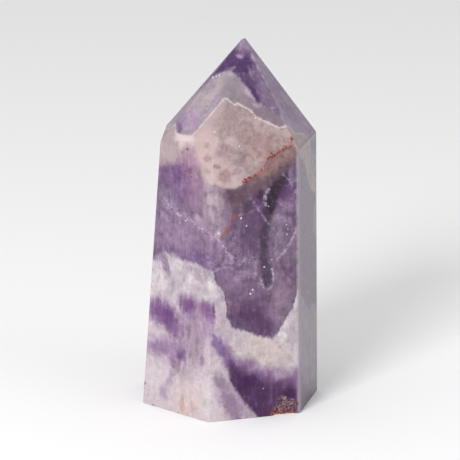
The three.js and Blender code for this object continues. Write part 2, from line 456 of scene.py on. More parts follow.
bands = {  # lines across the front, each a run of (across, up) places
    "capLine": [  # top of the grey lilac band under the tip
        (-19.5, 70.5), (-11, 75), (-7.3, 78.5), (-4.6, 80.2), (-3.2, 81.4), (-0.1, 82.2), (0.7, 81.8),
        (2.4, 80), (3.7, 78.5), (5.4, 76.5), (6.7, 74.2), (8.3, 73), (10.1, 72.1), (13.1, 70.5), (17, 69.5),
        (21.2, 65)],
    "beigeTop": [  # the thin bright line over the beige zone
        (-19.5, 68.5), (-15.6, 68.7), (-14.8, 68), (-14.2, 68.6), (-13.2, 68.9), (-13.1, 66.8),
        (-12.2, 66.2), (-9.2, 65.9), (-1.3, 75.5), (-0.5, 75.1), (1.1, 73.7), (1.9, 74.2), (2.9, 73.5),
        (4.9, 72.5), (6.7, 70.5), (9, 69.5), (11.9, 68), (12.9, 68.2), (13.9, 68.7), (15.1, 67.2),
        (16.5, 67.2), (19, 65.5), (20.8, 57.9)],
    "beigeFoot": [  # where the beige zone ends on the purple body
        (-19.5, 59.9), (-15.8, 59.4), (-13.1, 59.9), (-11.4, 62.4), (-9.2, 62.4), (-8.5, 60.9), (-8, 59.4),
        (-7.2, 57.3), (-6.6, 55.2), (-5.8, 54.1), (-4.8, 53.6), (-3.6, 53.8), (-2.2, 53.2), (-0.2, 52.7),
        (1.8, 53.2), (3.3, 54.4), (6.2, 56.3), (7.9, 57.5), (8.2, 59), (9, 60.4), (10.6, 61.5),
        (12.8, 62.4), (14.5, 63.2), (15.3, 64.1), (16.5, 62.4), (19, 57.6), (21.2, 52.6)],
    "brownFoot": [  # lower limit of the brown in the body's upper right
        (0, 52.4), (4.9, 52.4), (7.8, 53.4), (10.2, 54.9), (12.7, 56.7), (14.6, 58.4), (16.5, 59.9)],
    "purpleFoot": [  # where the purple body meets the white chevron
        (-21.2, 33.3), (-19.5, 34.3), (-16.5, 37.3), (-14.1, 36.6), (-12.7, 35.6), (-9.7, 34.5),
        (-7.9, 33.7), (-6, 32.6), (-4.1, 31.8), (-3.4, 29.3), (-1.4, 26.5), (-1, 24.3), (-0.9, 21),
        (0.7, 17.9), (5.2, 16.4), (10, 15), (11.5, 16.4), (13.4, 19.7), (15.4, 22.9), (15.7, 25),
        (16.5, 27.7), (17.8, 25.8), (21.2, 18.5)],
    "whiteFoot": [  # where the white chevron meets the foot
        (-21.2, 24.8), (-19, 25.8), (-15.8, 25.5), (-13.1, 24.3), (-11.2, 26.8), (-8.3, 25.8), (-5.4, 25),
        (-3.8, 23.8), (-3.3, 16.8), (-1.7, 14.7), (0, 12.3), (1.8, 9.2), (4.3, 8.7), (8.2, 7.2),
        (12.1, 5.7), (14.6, 5.7), (16.3, 7.3), (18, 6.2), (21.2, 3.7)],
    "darkFoot": [  # left and lower limit of the dark purple in the foot
        (-6.1, 22.3), (-4.1, 15), (-3.4, 10.5), (-2, 7.5), (-0.5, 5.8), (0.2, 3.7), (1.5, 1.6), (3, -0.5),
        (5.4, -3.2), (6.6, -5), (11, -10.4)],
}

threads = [  # thin pale veins: width, strength, run of (across, up) places
    (0.6, 0.6, [
        (-15.4, 49.6), (-14, 47.4), (-12.6, 46.3), (-11, 45.4), (-9.5, 44.8), (-7.6, 43.3), (-5.7, 42),
        (-4.3, 41.2), (-2.9, 40), (-1.5, 38), (-0.3, 36.4), (0.7, 34.1)]),
    (0.5, 0.4, [(-17.7, 47.6), (-15.6, 45.6), (-14.8, 44.1)]),
    (0.5, 0.4, [(-3.6, 41), (-1.9, 39.2), (-0.8, 36.8)]),
    (0.5, 0.5, [(5.1, 50.4), (6.9, 47.4), (9.3, 44), (11.8, 41.1)]),
    (0.5, 0.35, [(2.4, 46.1), (4.8, 46.8), (6.9, 47.9), (8.2, 49.6)]),
    (0.64, 0.7, [(11.6, 34.9), (13, 36.6), (14.2, 38.2), (15.4, 40.7), (16.6, 43.4)]),
    (0.5, 0.5, [(2, 33.4), (3.1, 34.4), (4.4, 35.2), (6.4, 35.4)]),
    (0.5, 0.45, [(-3.8, 31.9), (-2.2, 32.8), (-0.6, 33), (1.4, 32.2), (3.6, 31.6), (6.2, 31.4), (7.4, 30)]),
    (0.5, 0.7, [(7.6, 29.6), (8, 28.2), (9.2, 27.4), (10.4, 28.4), (10.6, 30.6), (10.2, 32.6)]),
    (0.5, 0.4, [(13.8, 32.4), (15.2, 30.2), (15.7, 27.6)]),
    (0.55, 0.5, [(12.9, 56.3), (14.2, 55.1), (15.1, 53.9), (16, 51.3)]),
    (0.5, 0.5, [(14.2, 55.3), (15.6, 54.7)]),
    (0.5, 0.4, [(15, 52.6), (15.9, 49.4)]),
    (0.51, 0.45, [(4.4, 83.6), (5.2, 80.9), (6.2, 79.6)]),
    (0.5, 0.7, [(-5.6, 80), (-4.2, 80.6), (-2.8, 81.3), (-1.4, 81.9)]),
    (0.64, 0.55, [(4.2, 77.6), (5.2, 75.9), (6.5, 74.5), (8.6, 73.4), (10.4, 72.9)]),
    (0.6, 0.6, [(5.4, 86.6), (7, 83), (8.8, 79.5), (11.2, 75.2), (12.7, 71), (13.6, 68.3)]),
    (0.55, 0.9, [(9.5, 52.6), (8.6, 51.3), (8.5, 50), (8.8, 48.6)]),
    (0.69, 0.4, [(-4.3, 16), (-4.5, 21), (-4.6, 27)]),
]

laceRuns = [  # wider bands of fine lace, in the same way
    (1.9, 1, [(-15.6, 49.4), (-13.6, 47.4), (-11.8, 46.2)]),
    (1.5, 1, [(-11.8, 46.2), (-9.5, 44.9), (-7.2, 43), (-5.2, 41.4)]),
    (1.3, 0.9, [(-5.2, 41.4), (-2.9, 40), (-1.4, 37.6), (0.2, 35)]),
    (1.2, 0.7, [(-17.8, 47.4), (-15.6, 45.6), (-14, 44.6)]),
    (1.6, 0.8, [(-9.4, 46.6), (-7.4, 44.8), (-5, 40.2)]),
    (1.8, 0.7, [(-5, 34.6), (-2.6, 33), (0.6, 34.4), (3.6, 35), (6, 34.2)]),
    (1.6, 0.6, [(1.6, 30.6), (4.6, 31.4), (7, 29.6)]),
    (1.6, 0.5, [(12.6, 49.4), (13.8, 48.6), (15, 47.4)]),
    (1.6, 0.4, [(10.8, 45.9), (12, 45.6), (13.6, 44.8)]),
    (1.4, 0.5, [(0.6, 41.4), (1.6, 38.2), (2.4, 35.6)]),
    (1.5, 0.5, [(12.4, 42.4), (12, 39), (10.6, 36.4)]),
]

orangeVein = [(0.45, 1, [(-2.2, 40.7), (-1.3, 41.4), (-0.5, 42.7), (-0.2, 44.2), (0.8, 45.4), (1.9, 46.2)])]
redLine = [(0.8, 1, [
    (3.4, 54.5), (4.9, 55.4), (6.2, 56.3), (7.9, 57.5), (8.2, 59), (9, 60.4), (10.6, 61.5), (12.8, 62.4),
    (14.5, 63.4), (15.2, 65.6)])]

# Soft patches of one tone: place across and up, reach across and up, strength, turn in degrees
# if any; then the softness of their rims where it isn't the usual one
tipDaubs = [
    ("tipMauve", [(3.3, 89, 2.2, 2.2, 1), (6.9, 84.6, 0.9, 2.4, 0.5, 26)]),
    ("tipDeep", [
        (-1.9, 83.9, 1.9, 5, 1, -40), (0.6, 85.2, 2.2, 2.6, 1, -20), (3.2, 83.6, 2.9, 2.6, 1, 10),
        (4.6, 79.8, 1.8, 3.6, 0.85, 22), (5.7, 77, 1.1, 3, 1, 26), (6.4, 75.2, 0.6, 1.5, 0.9, 25)]),
    ("tipRosy", [(9.4, 76.2, 2, 4.6, 0.75, 24), (6.6, 81.6, 1.5, 2.2, 0.6, 20)]),
    ("tipSoft", [(5, 81.4, 0.9, 1.1, 0.6, 10), (4.2, 86.6, 1.6, 1, 0.6, -20)]),
    ("tipLight", [(2.2, 86, 0.95, 0.5, 0.75, -15), (6, 85.4, 0.4, 0.9, 0.5, 20)]),
]

bandDaubs = [
    ("bandRight", [(9.6, 70.8, 6.5, 3.2, 1, -25), (4.6, 74, 3, 2.4, 0.8, -35)]),
    ("bandPeak", [(0.3, 77.6, 2.9, 4.6, 1)]),
    ("bandWarm", [
        (-5.4, 76.2, 1.3, 4.8, 0.7, -48), (-2.6, 79.8, 0.9, 2.2, 0.6, -40),
        (-7.4, 73.4, 1.2, 3.6, 0.5, -50)]),
    ("bandDim", [
        (-4.4, 77.8, 0.9, 1.9, 0.7, -50), (-6.9, 75.4, 0.6, 1.6, 0.4, -50), (2.2, 78.6, 0.8, 2.4, 0.5, 12),
        (-0.9, 77, 0.5, 1.8, 0.4)]),
    ("bandPink", [(-10.3, 70.4, 3.1, 4, 1, -15)]),
    ("bandViolet", [(-12.4, 70.2, 1.8, 1.9, 0.7), (-8.4, 69.6, 0.8, 2.2, 0.5, 30)], 0.8),
    ("notch", [(-12.4, 68, 0.85, 1.6, 0.9, 8), (-10.6, 66.9, 1.2, 0.7, 0.35)]),
    ("rosyWhite", [
        (4.5, 76.9, 0.55, 0.95, 0.85, 25), (0.2, 82, 0.9, 1, 0.5), (6.6, 73.7, 1.2, 0.5, 0.5, -20)]),
]

beigeDaubs = [
    ("beigeTop", [(-0.4, 71.3, 3, 4.2, 0.9), (1.6, 73, 0.8, 1.6, 0.5)]),
    ("beigeLimb", [
        (-5.6, 69.3, 1.7, 5.6, 0.9, -38), (10, 67.9, 5.4, 1.2, 0.6, -20),
        (-1.6, 73.9, 0.7, 1.4, 0.5, -30)]),
    ("beigePink", [(8.6, 63, 4.6, 3.4, 0.95, -10), (3.4, 65.4, 2.6, 2.2, 0.5)]),
    ("beigeLight", [(-6.4, 62.8, 3, 5.4, 1), (-3.6, 56.4, 3.6, 4.4, 0.9), (-0.6, 54.2, 3.4, 1.4, 0.7)]),
    ("beigeWhite", [
        (0.2, 64.4, 1.5, 1.3, 0.8), (-3.4, 64.6, 0.8, 1.2, 0.6), (-4.4, 61.7, 0.7, 0.8, 0.5),
        (-2.9, 60, 1.6, 0.5, 0.5, 10), (-5, 55.2, 0.8, 1.2, 0.4)]),
    ("spot", [
        (-5.6, 63.5, 0.8, 0.7, 0.6), (-5.5, 60.4, 1.1, 0.9, 0.75), (-5.4, 57.3, 0.8, 0.6, 0.5),
        (-1.2, 55.9, 1.6, 1.7, 0.8), (-1.3, 63, 1.1, 0.9, 0.6), (2.9, 59.4, 1.2, 1.1, 0.7),
        (1.7, 57, 1.3, 0.9, 0.45), (-2.4, 61.7, 0.7, 0.7, 0.5)]),
    ("spotDeep", [
        (-3, 58.3, 0.75, 0.65, 0.85), (3.3, 60.8, 0.6, 0.45, 0.8), (1.1, 62, 0.4, 0.5, 0.5),
        (-1.4, 56.2, 0.6, 0.5, 0.5), (2.7, 59, 0.5, 0.6, 0.5)]),
    ("shoulder", [(-15.4, 64.9, 3, 6, 1)]),
    ("blob", [
        (-11.2, 65.3, 2.2, 1.2, 1, -8), (-12.6, 66.6, 0.9, 1, 0.9, 30), (-9.8, 64.6, 1, 1.6, 0.6),
        (-11.6, 63.6, 0.9, 1.4, 0.7)]),
]

bodyDaubs = [
    ("greyViolet", [(-14.8, 51, 3.4, 5, 0.8), (-10.6, 49, 1.8, 3, 0.5)], 0.8),
    ("deepViolet", [
        (-12.4, 56, 2.8, 2.8, 0.8), (-15.2, 56, 2, 2, 0.6), (-10.6, 53.4, 1, 3, 0.6),
        (-12.8, 52.6, 1.4, 2.4, 0.5)], 0.9),
    ("shoulderPink", [(-12.6, 60.4, 3.6, 1.3, 0.6), (-16.6, 59.6, 1.6, 1.2, 0.5)]),
    ("pinkColumn", [(-8.2, 52.2, 2.2, 7, 0.8)], 0.8),
    ("halo", [(-9.8, 60.4, 1.7, 3.2, 1), (-8.6, 56.6, 1.2, 2.8, 0.6, 10)], 0.7),
    ("pinkFleck", [
        (-9.9, 57.4, 0.5, 0.7, 0.6), (-8.5, 55, 0.5, 0.8, 0.5), (-7, 50, 0.6, 0.9, 0.45),
        (-9.5, 51.9, 0.5, 0.7, 0.4), (-6, 45.6, 0.7, 0.8, 0.35)]),
    ("paleColumn", [(-4, 49.2, 2.7, 5.4, 1), (-3.2, 44.4, 2.2, 4.2, 0.7)], 0.9),
    ("paleCore", [
        (-4.4, 47, 0.6, 3.8, 0.4), (-5.2, 51, 0.4, 2.6, 0.4), (-3.2, 50.4, 0.4, 2.4, 0.3),
        (-7.7, 44.8, 0.9, 1.2, 0.6, 10), (-2.9, 41.4, 0.6, 0.7, 0.9)]),
    ("lilac", [(-13, 41, 5.6, 3.6, 0.9, -12), (-5.4, 38.4, 3.4, 2, 0.7, -20)], 0.7),
    ("lowerRim", [
        (-6.6, 34.8, 3.6, 1.8, 0.85, -28), (-12.4, 37.2, 3.4, 0.8, 0.4, -15),
        (-3, 31.6, 1.4, 1.6, 0.7, -30), (0.2, 33, 1.2, 1, 0.6), (-4.6, 35.2, 0.9, 0.8, 0.6)], 0.8),
    ("brownDark", [(2.2, 50.6, 3, 3.6, 1), (5.4, 51.8, 3, 2.2, 0.8, 20), (1.6, 48, 1.2, 2.2, 0.6, -10)]),
    ("darkPurple", [
        (7, 48.4, 2.4, 4.4, 0.8, 10), (13, 52.2, 3.2, 3.4, 0.95, -28), (4.8, 44.4, 1.8, 2.8, 0.6)], 0.8),
    ("diamond", [
        (4.5, 48.4, 1.2, 1.3, 0.9, 35), (13.8, 56.9, 0.9, 0.7, 0.6, 20), (11.6, 55.6, 0.8, 0.6, 0.5, 40)]),
    ("tuft", [
        (15.3, 54.6, 0.7, 1.3, 0.6, -10), (14.9, 48.6, 1.6, 1.6, 0.6), (12.2, 45, 1.8, 1.4, 0.5),
        (15.6, 50.4, 0.5, 1.8, 0.5, -35)]),
    ("bluePurple", [(5, 42.4, 1.9, 4.6, 1), (2.2, 37.4, 1.4, 3, 0.7), (0.8, 43.6, 1.2, 2.6, 0.4)], 0.7),
    ("greyField", [(12.6, 39.4, 3.4, 6, 0.8), (3.6, 34, 2, 1.8, 0.5)], 0.7),
    ("veryDark", [
        (12.3, 54.8, 1.5, 2, 1, -32), (10.9, 52, 2, 2.8, 1, -28), (9.8, 48.6, 1.4, 3.2, 1, -8),
        (7.6, 51.4, 0.8, 1.8, 0.8)], 0.5),
    ("darkPurple", [(13.4, 51.2, 1.6, 1.8, 0.5, -35), (15.4, 50.4, 1.5, 4.6, 0.55)], 0.7),
    ("streak", [(8.7, 45, 0.9, 3.4, 0.9, 4), (8.2, 40.3, 1.05, 4.4, 1), (8.2, 35, 1, 3.6, 0.95)], 0.45),
    ("mauve", [(0.6, 29.6, 3, 2.6, 0.8), (0.4, 37.8, 1.2, 1.6, 0.4), (4.8, 30.6, 2.2, 1.6, 0.5)], 0.7),
    ("uRight", [(12.8, 26.6, 2.8, 5, 0.8), (12, 21, 2, 3.4, 0.8, 25)], 0.7),
    ("uMist", [(4.4, 26.2, 3, 2, 0.6)], 0.8),
    ("uDeep", [(4.2, 21, 3.2, 2.8, 1, -8), (7.2, 18.8, 3, 2.8, 0.9, -10)], 0.8),
    ("uDeep", [(13.8, 32, 0.7, 2.2, 0.6, 38), (14.2, 31.6, 0.6, 2.2, 0.5, -35)]),
    ("redBrown", [(0.7, 22.9, 0.8, 1.1, 0.6, 10)]),
    ("rim", [(9.2, 29.6, 1.7, 2.7, 0.6)]),
    ("cavity", [(9.1, 30.1, 1.25, 2.3, 1), (8.7, 32.6, 1.1, 1.6, 0.9)]),
]

chevronDaubs = [
    ("whiteGrey", [
        (-6.9, 31.2, 3, 1.7, 1, -35), (-11.6, 31, 2, 2, 0.5), (-13.2, 28.6, 1.2, 2.4, 0.5, 20),
        (-8.6, 28.2, 1.4, 1.6, 0.4)]),
    ("whiteBright", [
        (-4.2, 27.2, 0.9, 2.8, 1, 12), (-13.4, 33.6, 2.6, 1.6, 0.8, -20), (-17.4, 29.6, 1.8, 3.6, 0.8, 10),
        (-9.4, 30.4, 1, 1.4, 0.5)]),
    ("finger", [(-15.9, 34.4, 0.85, 3.8, 1, 20), (-17.5, 36.4, 1.2, 1.8, 0.8, 10)]),
    ("whiteMid", [(-2.2, 21, 1.6, 4.4, 0.9, 5), (-0.2, 16, 2.2, 3, 0.7, 25)]),
    ("cream", [(8.4, 11.8, 7.6, 3.6, 1, -8)]),
    ("creamLilac", [(16, 18, 1.7, 6, 0.9, -8), (3.4, 13.4, 1.6, 2.6, 0.6, 20), (13.4, 8.6, 2.6, 2, 0.5)]),
    ("whiteBright", [(16.4, 25.4, 0.55, 2.6, 0.9, -8), (15.2, 20, 0.7, 1.6, 0.5, -25)]),
    ("footRose", [(12, 12.9, 0.4, 0.4, 0.6), (4.2, 8.8, 2, 1.2, 0.35)]),
]

footDaubs = [
    ("footMix", [(-9, 14.6, 4.6, 6.8, 0.9), (-7.4, 21.4, 4.6, 2.8, 0.9, -10)], 0.7),
    ("mixGreen", [(-8.6, 12.8, 2.6, 3.4, 0.5), (-11, 6, 2.2, 2.2, 0.4)], 0.8),
    ("peach", [(-9.8, -1.2, 3.6, 4.8, 0.8)], 0.8),
    ("violetSoft", [
        (-16.4, 12.9, 4.4, 2.5, 0.95, -10), (-13.2, 11.6, 2.6, 2.8, 0.9, -10),
        (-18.4, 23.4, 2.4, 3.4, 0.9, 20), (-5.4, 19.2, 1.6, 3.2, 0.6), (-10.6, 20, 2.4, 2, 0.5),
        (-16.2, 1.6, 0.9, 1.8, 0.6), (-14.4, 5.8, 0.7, 3.4, 0.6, -18),
        (-11.8, 27.2, 2, 2.6, 0.7, 30)], 0.7),
    ("violet", [
        (-15.9, 21.2, 2.7, 4.4, 1, 38), (-14, 18.2, 2, 2.6, 0.9, 20), (-10.2, 23.9, 2.6, 2.6, 0.95, 10),
        (-4.7, 22.4, 1.2, 2.4, 1), (-5.8, 22.8, 2, 1.9, 0.8), (-12.4, 27.2, 1, 2, 0.6, 20)], 0.7),
    ("violetDeep", [
        (-14.9, 20.4, 1.3, 2.4, 0.7, 20), (-12.1, 10.9, 1, 1.4, 0.8), (-10, 23.2, 1.2, 1.2, 0.5),
        (-4.3, 22.4, 0.5, 1.4, 0.6)], 0.8),
    ("mixDark", [
        (-10, 16.8, 0.45, 1.8, 0.7), (-8.1, 14.6, 0.45, 2.2, 0.5), (-8.4, 19, 0.5, 1.9, 0.5),
        (-6.9, 9.6, 0.5, 1.8, 0.6), (-13.4, 8.4, 0.9, 1.6, 0.7, 24), (-11.6, 16.8, 0.4, 1.6, 0.5),
        (-9.4, 11, 0.4, 1.6, 0.3), (-11.4, 7.4, 0.4, 1.4, 0.4)]),
    ("orangeTint", [(-11.7, -1.8, 0.5, 2.2, 0.6), (-9.2, -1.8, 0.5, 1.4, 0.4)]),
    ("whiteBright", [
        (-18.4, 5.6, 2, 3.4, 0.5), (-5.8, -2.8, 0.35, 0.5, 0.9), (-5.6, 11.6, 0.7, 3.4, 0.5),
        (-8, 3, 0.7, 2.4, 0.4)]),
]

darkFootDaubs = [
    ("footRose", [
        (6.4, 7.6, 4.8, 1.5, 0.8, -8), (16.2, 5.6, 1, 2.8, 0.9), (11.6, 5.6, 2.2, 1, 0.4, 10)], 0.8),
    ("footDeep", [
        (4, 4, 2.6, 3.4, 1, -18), (14.2, 1.2, 1.9, 1.8, 1, 25), (1.4, 7.4, 1, 1.3, 0.9, 30),
        (7.4, 0.8, 2.4, 3.4, 0.6, -15), (7.2, -3, 1.2, 1.6, 0.6, 20)], 0.8),
]

streakDaubs = [  # the violet streak, and the pale band and mauve beside the dark foot
    ("footWhite", [(-5.2, -1.6, 2, 6.4, 0.8, 10)], 0.8),
    ("footBand", [(2.6, -0.8, 1.9, 6.8, 1, 38)], 0.7),
    ("footMauve", [(0.5, -1.8, 2.2, 5.6, 1, 27), (-2, 3.4, 1.7, 3, 0.9, 25)], 0.6),
    ("violetSoft", [(-0.2, 11.8, 2, 4.4, 0.9, 36)], 0.8),
    ("violet", [(-2.1, 12.2, 1.3, 3.6, 0.9, 26), (0, 8.8, 1.6, 2.8, 0.9, 38)], 0.7),
    ("violetBlue", [(-3, 13.4, 0.9, 2.4, 0.7, 16)]),
    ("footDeep", [(1.3, 7.2, 1.1, 1.6, 0.9, 25)], 0.7),
]

glintPlaces = [  # painted highlights, tiny glints: place across and up, reach
    (8.3, 33.1, 0.2), (10.2, 34.9, 0.15), (4.9, 26.3, 0.2), (5.5, 27.4, 0.15), (4, 43.4, 0.19),
    (2.7, 45.3, 0.16), (13.7, 43.8, 0.15), (14.1, 42.6, 0.16), (13.9, 41.3, 0.15), (2.3, 63.4, 0.17),
    (-3.8, 67, 0.17), (-2.8, 41.4, 0.21), (-7.2, 66.2, 0.11), (9.4, 48.3, 0.12), (-10.7, 44.7, 0.16),
    (-12.2, 44.1, 0.12), (6.2, 70.5, 0.17), (-4.2, 80.6, 0.19), (-2.6, 81.3, 0.19), (-3.3, 80.9, 0.14),
    (8.1, 2.6, 0.12), (1.6, 0.2, 0.11)]

redSpecks = [  # rusty specks, in the same way
    (-10.2, 62.7, 0.34), (-11.2, 58.9, 0.3), (-10.6, 57.2, 0.32), (-9.5, 55.7, 0.28), (14.9, 65.6, 0.3),
    (10.4, 61.2, 0.9), (11.4, 61.9, 0.6), (3.8, 54.8, 0.8), (4.9, 55.4, 0.5), (13.3, 62.9, 0.6),
    (13.9, 64.8, 0.5)]

stoneGrain = {  # repeats per millimetre, detail, roughness, shift; share of the repeats upwards, lean
    "swayAcross": (0.06, 1, 0.5, 31), "swayUp": (0.07, 1, 0.5, 17), "cloud": (0.17, 2, 0.5, 0),
    "haze": (0.42, 2, 0.55, 3), "mottle": (0.8, 3, 0.58, 5), "fibres": (1.3, 2, 0.6, 11, 0.17),
    "brush": (1.3, 2, 0.6, 71, 0.17, 32), "grit": (1.9, 2, 0.6, 23),
    "patches": (0.16, 2, 0.5, 91), "cells": (0.85, 2, 0.5, 47), "mesh": (0.95, 3, 0.6, 37),
    "wisps": (0.42, 3, 0.55, 61), "veins": (0.1, 3, 0.6, 83)}
wander = {  # millimetres by which the pattern strays from the drawn lines
    "drift": 1.2, "driftScale": 0.28, "shake": 0.7, "crispShake": 0.5, "shakeScale": 1.2,
    "sway": 0.9, "swayDepth": 18, "climb": 0.2}
wrap = {  # where the front ends: at a slanting plane, further back above the shoulders
    "slant": 0.211, "depth": 9.8, "shoulder": 65.3, "crownSlant": 0.422,
    "front": (3, 0.5), "back": (2, 6)}


class Stone(Shader):  # a material with the stone's own coordinates
    def __init__(self, name):
        self.material = newMaterial(name)
        super().__init__(self.material.node_tree)
        where = self.node("TexCoord", None, None, "Object")
        self.place = self.node("Mapping", None, {
            "Vector": where, "Scale": (1 / mm, 1 / mm, 1 / mm), "Location": view["offset"]})
        x, y, z = self.axes = self.split(self.place)
        depth = y + x * wrap["slant"] + wrap["depth"]
        self.behind = (depth - (z - wrap["shoulder"]).atLeast(0) * wrap["crownSlant"]).atLeast(0)
        self.front = self.behind.fade(*wrap["front"])
        self.back = self.behind.fade(*wrap["back"])
        tilt = math.radians(view["tilt"])
        rise = z - view["height"]
        closeness = view["distance"] / (view["distance"] + y * math.cos(tilt) - rise * math.sin(tilt))
        u = (x - view["side"]) * closeness
        v = (rise + y * math.tan(tilt)) * closeness + view["height"]
        sway = self.behind.atMost(wander["swayDepth"])  # the bands wander more away from the front
        u = u + (self.layer("swayAcross") - 0.5) * sway * wander["sway"]
        v = v + (self.layer("swayUp") - 0.5) * sway * wander["sway"] + self.behind * wander["climb"]
        self.cloud = self.layer("cloud")
        self.haze = self.layer("haze")
        self.mottle = self.layer("mottle")
        self.fibres = self.layer("fibres")
        self.brush = self.layer("brush")  # fibres that lean, in the left half of the chevron
        self.grit = self.layer("grit")
        self.patches = self.layer("patches") + (self.mottle - 0.5) * 0.14
        fineX, fineY = self.grainPair(self.place, wander["shakeScale"], 3)
        self.crispU = u + fineX * wander["crispShake"]
        self.crispV = v + fineY * wander["crispShake"]
        broadX, broadY = self.grainPair(self.place, wander["driftScale"], 2)
        self.u = u + broadX * wander["drift"] + fineX * wander["shake"]
        self.v = v + broadY * wander["drift"] + fineY * wander["shake"]
        self.rag = (self.mottle - 0.5) * 0.9 + (self.fibres - 0.5) * 0.5

    def layer(self, name):
        return self.grain(self.place, *stoneGrain[name])

    def mix(self, share, under, over):  # of two colours or names of tones
        under, over = (tones.get(color, color) for color in (under, over))
        return self.node("Mix", {"data_type": "RGBA"}, {0: share, 6: under, 7: over}, 2)

    def above(self, name):  # how far above a named line, in millimetres
        return self.v - self.trace(self.u, bands[name])

    def ovals(self, places, softness=0.5, crisp=False):
        whole = 0
        u, v, rag = (self.crispU, self.crispV, 0) if crisp else (self.u, self.v, self.rag)
        for across, up, reachAcross, reachUp, strength, *turn in places:  # a turn may be left out
            whole = self.node("Group", {"node_tree": softOval}, {
                "Across": u, "Up": v, "Rag": rag, "MiddleAcross": across, "MiddleUp": up,
                "ReachAcross": reachAcross, "ReachUp": reachUp, "Turn": math.radians(sum(turn)),
                "Softness": softness, "Strength": strength, "Before": whole})
        return whole * self.front

    def dots(self, places):  # small crisp round places
        return self.ovals([(across, up, reach, reach, 1) for across, up, reach in places], crisp=True)

    def strokes(self, runs):  # thin lines through the places of each run
        whole = 0
        for width, strength, points in runs:
            for start, end in zip(points, points[1:]):
                whole = self.node("Group", {"node_tree": fineStroke}, {
                    "Across": self.crispU, "Up": self.crispV, "StartAcross": start[0], "StartUp": start[1],
                    "RunAcross": end[0] - start[0], "RunUp": end[1] - start[1],
                    "Width": width, "Strength": strength, "Before": whole})
        return whole * self.front

    def daub(self, under, daubs):  # the patches of a table, one tone over another
        for name, places, *softness in daubs:
            under = self.mix(self.ovals(places, *softness), under, name)
        return under

    def ahead(self, point, outward):  # how far in front of a plane, in millimetres
        level = -point.dot(outward)
        for axis, share in zip(self.axes, outward):
            level = self.sum("MULTIPLY_ADD", axis, share, level)
        return level


def paintTip(ink):
    tip = ink.mix((ink.mottle * 0.8 + ink.cloud * 0.6).fade(0.45, 0.9), "tipViolet", "tipMauve")
    tip = ink.mix((ink.fibres + ink.cloud).fade(1.15, 0.75) * 0.5, tip, "tipDeep")
    return ink.daub(tip, tipDaubs)


def paintBand(ink):
    band = ink.mix(ink.mottle.fade(0.35, 0.65), "bandLeft", "bandDim")
    return ink.daub(band, bandDaubs)


def paintBeige(ink):
    beige = ink.mix((ink.mottle + ink.cloud).fade(0.75, 1.3), "beigeTop", "beigeLimb")
    beige = ink.mix((ink.haze + ink.cloud).fade(1, 1.2) * ink.back * 0.8, beige, "beigeLight")
    beige = ink.daub(beige, beigeDaubs)
    beige = ink.mix(ink.haze.fade(0.42, 0.62) * ink.u.fade(0, 5) * 0.4, beige, "beigeLimb")
    beige = ink.mix(ink.mottle.fade(0.48, 0.36) * ink.u.fade(-2, 3) * 0.3, beige, "spotDeep")
    cells = abs(ink.layer("cells") - 0.5).fade(0.05, 0)
    return ink.mix(cells * ink.u.fade(6, -3) * 0.4, beige, "beigeWhite")


def paintBody(ink):
    body = ink.mix(ink.u.fade(-8, 6), "bodyLeft", "bodyRight")
    body = ink.mix((ink.cloud * 0.7 + ink.fibres * 0.5).fade(0.75, 0.45) * 0.6, body, "darkPurple")
    body = ink.mix((ink.haze + ink.fibres * 0.5).fade(0.78, 1.05) * 0.4, body, "lilac")
    body = ink.mix(ink.patches.fade(0.52, 0.62) * ink.back * 0.6, body, "deepViolet")
    body = ink.mix(ink.patches.fade(0.44, 0.34) * ink.back * 0.6, body, "greyField")
    body = ink.mix(ink.patches.fade(0.36, 0.28) * ink.back * 0.7, body, "streak")
    body = ink.daub(body, bodyDaubs)
    height = ink.above("brownFoot") + (ink.mottle - 0.5) * 1.6
    brown = ink.mix(height.fade(0.2, 3), "brownDark", "brownRight")
    brown = ink.mix(height.fade(2.5, 5.5) * ink.u.fade(11, 15), brown, "brownPale")
    body = ink.mix(height.fade(-1.6, 0.8) * ink.u.fade(0.5, 6), body, brown)
    return ink.mix(ink.haze.fade(0.5, 0.25) * 0.35, body, "darkPurple")


def paintChevron(ink):
    pale = (ink.cloud * 0.5 + ink.haze * 0.55 + ink.brush * 0.6).fade(0.6, 1.02)
    white = ink.mix(pale, "whiteGrey", "whiteBright")
    white = ink.daub(white, chevronDaubs)
    rim = ink.above("purpleFoot").fade(-4.5, -0.5) * ink.u.fade(0, -4)
    rim = rim * (ink.grit * 0.6 + ink.brush * 0.6).fade(0.64, 0.5) * 0.4
    white = ink.mix(rim, white, "greyViolet")
    leaning = ink.brush + (ink.fibres - ink.brush) * ink.u.fade(-4, 1)
    white = ink.mix(leaning.fade(0.48, 0.34) * 0.45, white, "whiteBright")
    return ink.mix(leaning.fade(0.5, 0.7) * 0.6, white, "whiteGrey")


def paintFoot(ink):
    foot = ink.mix((ink.fibres * 0.5 + ink.haze).fade(0.7, 1) * 0.5, "whiteLow", "footMix")
    foot = ink.mix(ink.patches.fade(0.5, 0.58) * ink.back * 0.7, foot, "violetSoft")
    foot = ink.mix(ink.patches.fade(0.56, 0.66) * ink.back * 0.9, foot, "violet")
    foot = ink.daub(foot, footDaubs)
    foot = ink.daub(foot, streakDaubs)
    rosy = (ink.fibres * 0.6 + ink.haze * 0.6).fade(0.55, 0.8) * 0.3
    dark = ink.mix(rosy, "footDark", "footRose")
    dark = ink.daub(dark, darkFootDaubs)
    rosy = (ink.above("whiteFoot") + (ink.haze - 0.5) * 3).fade(-3.4, 0) * 0.85
    dark = ink.mix(rosy, dark, "footRose")
    reach = (ink.above("darkFoot") + (ink.mottle - 0.5) * 1.6).fade(-0.8, 1) * ink.u.fade(-1, 0.6)
    return ink.mix(reach, foot, dark)


